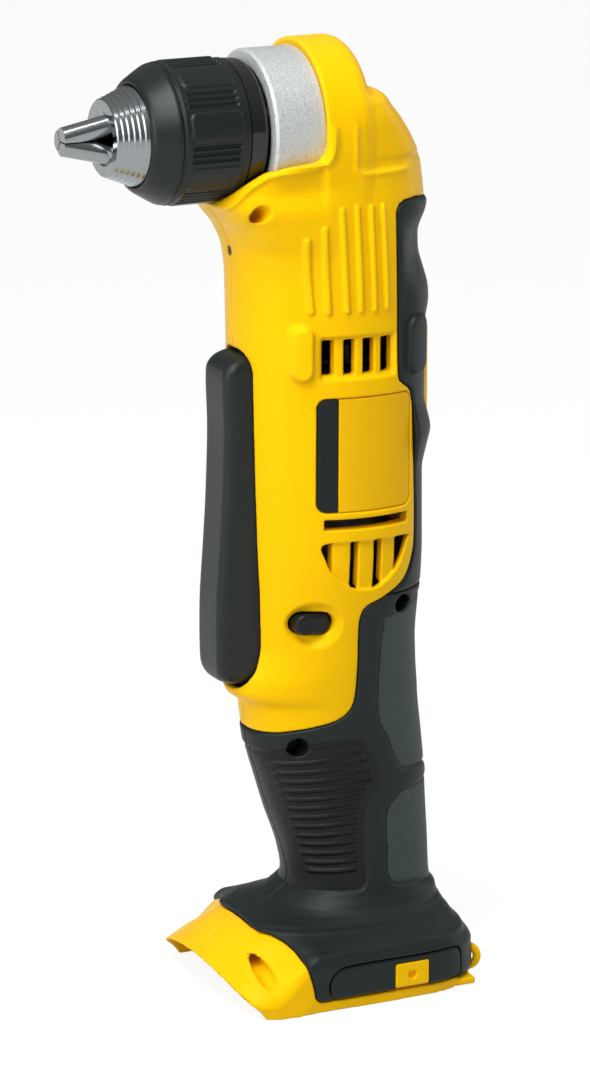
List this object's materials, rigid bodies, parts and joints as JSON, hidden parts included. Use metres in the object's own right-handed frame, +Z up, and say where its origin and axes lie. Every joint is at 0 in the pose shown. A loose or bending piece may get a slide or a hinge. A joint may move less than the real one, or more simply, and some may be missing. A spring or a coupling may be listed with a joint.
{
  "type": "right angle drill",
  "caption": "Cordless right angle drill with a keyless chuck set square to a slim handle, a long paddle trigger on the front and a slide-on battery foot.",
  "frame": {"origin": "on the motor axis, in the plane of the foot's bottom edge, where the battery slides on", "axes": "+Z up along the motor axis towards the head, -X the way the chuck points, the housing splits at Y = 0"},
  "size_m": [0.1303, 0.0736, 0.3],
  "materials": {
    "yellow_shell": "fine moulded texture, satin",
    "soft_grip": "matt overmoulded elastomer with ridged and stippled panels",
    "black_plastic": "satin moulded",
    "gloss_black": "polished",
    "collar_silver": "blasted die casting",
    "polished_steel": "turned and polished",
    "steel": "ground",
    "dark_steel": "black oxide",
    "bronze": "sintered",
    "copper": "enamelled wire and bare bars",
    "magnet": "sintered ferrite",
    "carbon": "pressed carbon",
    "clear_lens": "clear moulded lens",
    "red_plastic": "smooth moulded"
  },
  "bodies": {
    "housing": {"housing_left": "yellow_shell", "housing_right": "yellow_shell", "grip_left": "soft_grip", "grip_right": "soft_grip", "back_strip": "soft_grip", "nameplates": "yellow_shell", "side_pads": "soft_grip", "pad_clips": "yellow_shell", "led_lamp": "clear_lens", "housing_screws": "dark_steel", "gear_case": "collar_silver", "bearing_retainer": "steel", "retainer_screws": "dark_steel", "front_bearing": "steel", "rear_bushing": "bronze", "pinion_bearing": "steel", "gearbox_sleeve": "dark_steel", "ring_gear": "steel", "motor_plate": "collar_silver", "motor_can": "dark_steel", "magnets": "magnet", "motor_bearings": "steel", "brush_cap": "black_plastic", "brushes": "carbon", "trigger_pin": "steel", "switch_body": "black_plastic", "terminal_block": "black_plastic", "terminal_blades": "bronze", "wiring": "red_plastic"},
    "rotor": {"rotor_shaft": "steel", "rotor_core": "dark_steel", "windings": "copper", "commutator": "copper", "cooling_fan": "black_plastic", "motor_pinion": "steel"},
    "carrier_low": {"carrier_low": "steel"},
    "planet_low_1": {"planet_low_1": "steel"},
    "planet_low_2": {"planet_low_2": "steel"},
    "planet_low_3": {"planet_low_3": "steel"},
    "carrier_out": {"carrier_out": "steel", "bevel_pinion": "steel"},
    "planet_out_1": {"planet_out_1": "steel"},
    "planet_out_2": {"planet_out_2": "steel"},
    "planet_out_3": {"planet_out_3": "steel"},
    "spindle": {"spindle": "steel", "bevel_gear": "steel", "chuck_body": "polished_steel", "chuck_rear_ring": "gloss_black", "chuck_screw": "dark_steel"},
    "chuck_sleeve": {"chuck_sleeve": "black_plastic", "chuck_nut": "steel"},
    "jaw_1": {"jaw_1": "polished_steel"},
    "jaw_2": {"jaw_2": "polished_steel"},
    "jaw_3": {"jaw_3": "polished_steel"},
    "trigger": {"paddle_trigger": "black_plastic"},
    "switch_plunger": {"switch_plunger": "red_plastic"},
    "direction_button": {"direction_button": "black_plastic"},
    "direction_lever": {"direction_lever": "black_plastic"},
    "speed_selector": {"speed_selector": "black_plastic", "shift_ring": "steel"}
  },
  "joints": [
    {"name": "rotor_spin", "type": "hinge", "parent": "housing", "child": "rotor", "pos_m": [0, 0, 0.17], "axis": [0, 0, 1], "continuous": true},
    {"name": "carrier_low_spin", "type": "hinge", "parent": "housing", "child": "carrier_low", "pos_m": [0, 0, 0.219], "axis": [0, 0, 1], "continuous": true},
    {"name": "planet_low_1_spin", "type": "hinge", "parent": "carrier_low", "child": "planet_low_1", "pos_m": [0.0096, 0, 0.219], "axis": [0, 0, 1], "continuous": true},
    {"name": "planet_low_2_spin", "type": "hinge", "parent": "carrier_low", "child": "planet_low_2", "pos_m": [-0.0048, 0.00831, 0.219], "axis": [0, 0, 1], "continuous": true},
    {"name": "planet_low_3_spin", "type": "hinge", "parent": "carrier_low", "child": "planet_low_3", "pos_m": [-0.0048, -0.00831, 0.219], "axis": [0, 0, 1], "continuous": true},
    {"name": "carrier_out_spin", "type": "hinge", "parent": "housing", "child": "carrier_out", "pos_m": [0, 0, 0.2316], "axis": [0, 0, 1], "continuous": true},
    {"name": "planet_out_1_spin", "type": "hinge", "parent": "carrier_out", "child": "planet_out_1", "pos_m": [0.0096, 0, 0.2316], "axis": [0, 0, 1], "continuous": true},
    {"name": "planet_out_2_spin", "type": "hinge", "parent": "carrier_out", "child": "planet_out_2", "pos_m": [-0.0048, 0.00831, 0.2316], "axis": [0, 0, 1], "continuous": true},
    {"name": "planet_out_3_spin", "type": "hinge", "parent": "carrier_out", "child": "planet_out_3", "pos_m": [-0.0048, -0.00831, 0.2316], "axis": [0, 0, 1], "continuous": true},
    {"name": "spindle_spin", "type": "hinge", "parent": "housing", "child": "spindle", "pos_m": [-0.03, 0, 0.274], "axis": [-1, 0, 0], "continuous": true},
    {"name": "sleeve_turn", "type": "hinge", "parent": "spindle", "child": "chuck_sleeve", "pos_m": [-0.05, 0, 0.274], "axis": [-1, 0, 0], "range_deg": [0, 3600]},
    {"name": "jaw_1_slide", "type": "slide", "parent": "spindle", "child": "jaw_1", "axis": [0.9659, 0.2588, 0], "range_m": [0, 0.01932]},
    {"name": "jaw_2_slide", "type": "slide", "parent": "spindle", "child": "jaw_2", "axis": [0.9659, -0.1294, -0.2241], "range_m": [0, 0.01932]},
    {"name": "jaw_3_slide", "type": "slide", "parent": "spindle", "child": "jaw_3", "axis": [0.9659, -0.1294, 0.2241], "range_m": [0, 0.01932]},
    {"name": "trigger_pull", "type": "hinge", "parent": "housing", "child": "trigger", "pos_m": [-0.0264, 0, 0.198], "axis": [0, -1, 0], "range_deg": [0, 4], "stiffness_Nm_per_rad": 3, "springref_deg": -2.86},
    {"name": "plunger_slide", "type": "slide", "parent": "housing", "child": "switch_plunger", "axis": [1, 0, 0], "range_m": [0, 0.0065]},
    {"name": "direction_slide", "type": "slide", "parent": "housing", "child": "direction_button", "axis": [0, 1, 0], "range_m": [-0.003, 0.003]},
    {"name": "direction_lever_turn", "type": "hinge", "parent": "housing", "child": "direction_lever", "pos_m": [-0.005, 0, 0.1183], "axis": [0, 0, 1], "range_deg": [-16, 16]},
    {"name": "speed_shift", "type": "slide", "parent": "housing", "child": "speed_selector", "axis": [0, 0, 1], "range_m": [-0.0048, 0]}
  ],
  "couplings": [
    {"joint": "carrier_low_spin", "follows": "rotor_spin", "ratio": 0.25},
    {"joint": "planet_low_1_spin", "follows": "rotor_spin", "ratio": -0.75},
    {"joint": "planet_low_2_spin", "follows": "rotor_spin", "ratio": -0.75},
    {"joint": "planet_low_3_spin", "follows": "rotor_spin", "ratio": -0.75},
    {"joint": "carrier_out_spin", "follows": "rotor_spin", "ratio": 0.0625},
    {"joint": "planet_out_1_spin", "follows": "rotor_spin", "ratio": -0.1875},
    {"joint": "planet_out_2_spin", "follows": "rotor_spin", "ratio": -0.1875},
    {"joint": "planet_out_3_spin", "follows": "rotor_spin", "ratio": -0.1875},
    {"joint": "spindle_spin", "follows": "rotor_spin", "ratio": 0.035714},
    {"joint": "jaw_1_slide", "follows": "sleeve_turn", "m_per_rad": 0.00030747},
    {"joint": "jaw_2_slide", "follows": "sleeve_turn", "m_per_rad": 0.00030747},
    {"joint": "jaw_3_slide", "follows": "sleeve_turn", "m_per_rad": 0.00030747},
    {"joint": "plunger_slide", "follows": "trigger_pull", "m_per_rad": 0.087},
    {"joint": "direction_lever_turn", "follows": "direction_slide", "rad_per_m": -90.909}
  ]
}
